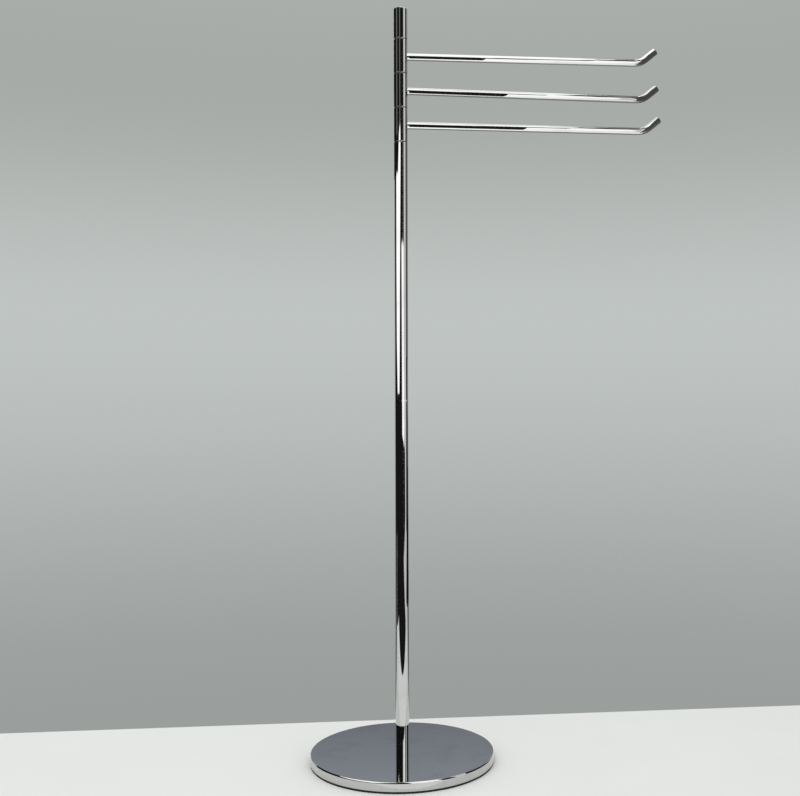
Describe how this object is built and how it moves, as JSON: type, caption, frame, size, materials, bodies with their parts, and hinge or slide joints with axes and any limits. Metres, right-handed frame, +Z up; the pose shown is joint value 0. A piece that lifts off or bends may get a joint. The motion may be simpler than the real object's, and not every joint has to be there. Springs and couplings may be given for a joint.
{
  "type": "swivel-arm towel stand",
  "caption": "Free-standing plated stand with a heavy round base, a slim post and stacked swivelling rod arms with upturned ends for towels or clothes.",
  "frame": {"origin": "on the floor at the middle of the base's underside, on the post's axis", "axes": "+Z up along the post; +X the way the arms reach at rest; +Y to the left of the arms, seen from the post"},
  "size_m": [0.4708, 0.24, 0.987],
  "materials": {
    "chrome": "mirror-polished bright chrome plating",
    "steel": "bright zinc-plated steel, satin",
    "bush": "natural acetal, machined",
    "friction_washer": "black nylon, matt",
    "pad": "dark closed-cell foam rubber, matt"
  },
  "bodies": {
    "stand": {"base_plate": "chrome", "base_pad": "pad", "base_bolt": "steel", "base_spring_washer": "steel", "base_plain_washer": "steel", "post_tube": "chrome", "foot_plug": "steel", "top_plug": "steel", "spindle": "steel", "friction_washer_1": "friction_washer", "friction_washer_2": "friction_washer", "friction_washer_3": "friction_washer", "friction_washer_4": "friction_washer", "wave_washer": "steel", "nut_washer": "steel", "lock_nut": "steel", "cap_insert": "steel", "top_cap": "chrome"},
    "lower_swivel": {"lower_sleeve": "chrome", "lower_sleeve_bottom_bush": "bush", "lower_sleeve_top_bush": "bush", "lower_arm": "chrome"},
    "middle_swivel": {"middle_sleeve": "chrome", "middle_sleeve_bottom_bush": "bush", "middle_sleeve_top_bush": "bush", "middle_arm": "chrome"},
    "top_swivel": {"top_sleeve": "chrome", "top_sleeve_bottom_bush": "bush", "top_sleeve_top_bush": "bush", "top_arm": "chrome"}
  },
  "joints": [
    {"name": "lower_arm_turn", "type": "hinge", "parent": "stand", "child": "lower_swivel", "pos_m": [0, 0, 0.834], "axis": [0, 0, 1], "continuous": true},
    {"name": "middle_arm_turn", "type": "hinge", "parent": "stand", "child": "middle_swivel", "pos_m": [0, 0, 0.879], "axis": [0, 0, 1], "continuous": true},
    {"name": "top_arm_turn", "type": "hinge", "parent": "stand", "child": "top_swivel", "pos_m": [0, 0, 0.924], "axis": [0, 0, 1], "continuous": true}
  ]
}
